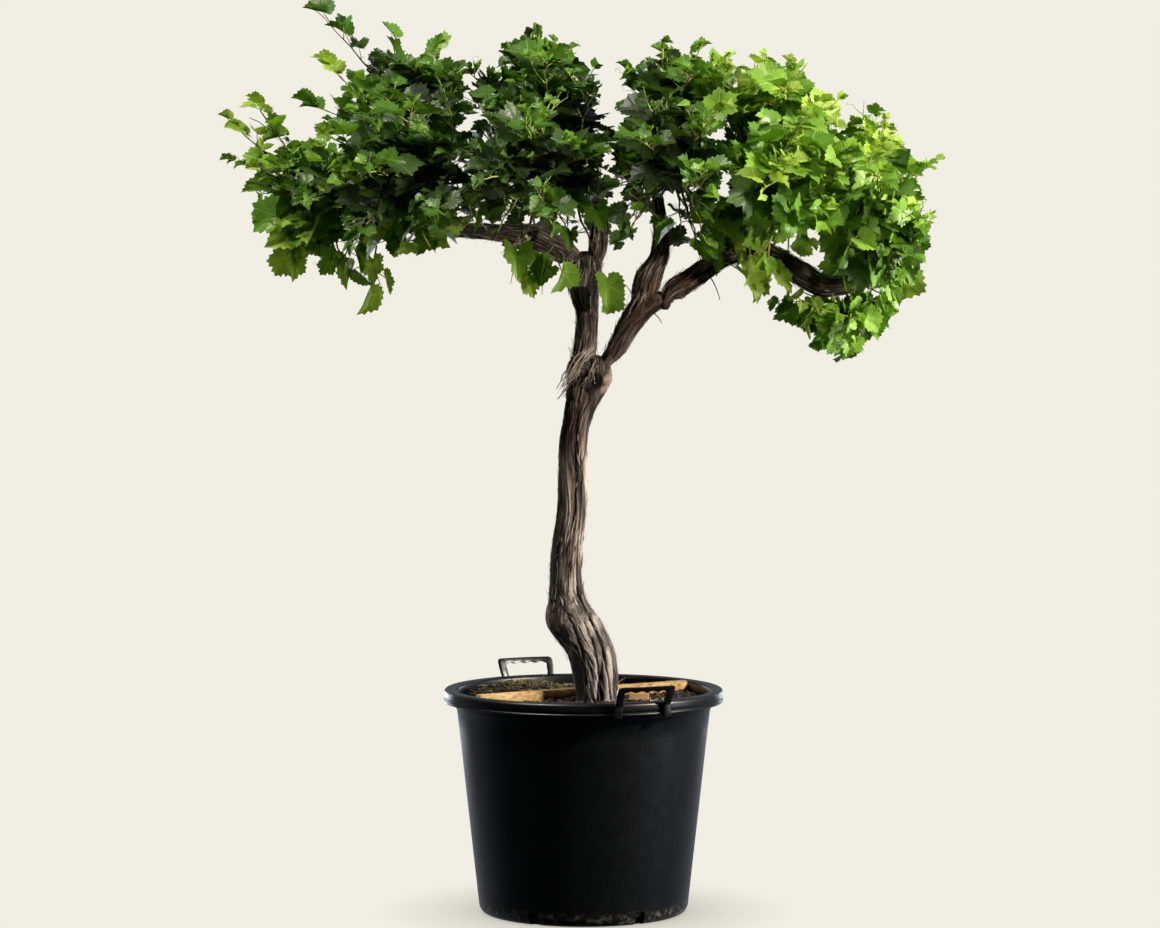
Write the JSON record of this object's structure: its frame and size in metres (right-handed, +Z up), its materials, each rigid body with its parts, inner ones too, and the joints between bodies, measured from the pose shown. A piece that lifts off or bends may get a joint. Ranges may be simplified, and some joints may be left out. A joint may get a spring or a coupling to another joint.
{
  "type": "potted grapevine",
  "caption": "Old grapevine grown as a small tree, with a forked, furrowed trunk and a wide flat head of leaves, in a round black nursery pot with two grip handles.",
  "frame": {"origin": "centre of the pot's flat underside, on the surface it stands on", "axes": "+Z up, +X to the right and -Y to the front, as the picture sees it"},
  "size_m": [1.4003, 0.835, 1.7804],
  "materials": {
    "pot_plastic": "satin",
    "soil": "matte",
    "timber": "matte",
    "bark": "matte",
    "foliage": "satin"
  },
  "bodies": {
    "root": {"pot": "pot_plastic", "handle_front": "pot_plastic", "handle_back": "pot_plastic", "soil": "soil", "plank": "timber", "offcut": "timber", "trunk": "bark", "left_stem": "bark", "left_bough": "bark", "left_head": "bark", "right_stem": "bark", "upright_bough": "bark", "right_bough": "bark", "right_bough_end": "bark", "foliage_far_left": "foliage", "foliage_left_front": "foliage", "foliage_left_back": "foliage", "foliage_left_top": "foliage", "foliage_middle_front": "foliage", "foliage_middle_back": "foliage", "foliage_middle_top": "foliage", "foliage_inner_front": "foliage", "foliage_inner_back": "foliage", "foliage_inner_top": "foliage", "foliage_right_front": "foliage", "foliage_right_back": "foliage", "foliage_right_top": "foliage", "foliage_outer_front": "foliage", "foliage_outer_back": "foliage", "foliage_low_right": "foliage"}
  },
  "joints": []
}
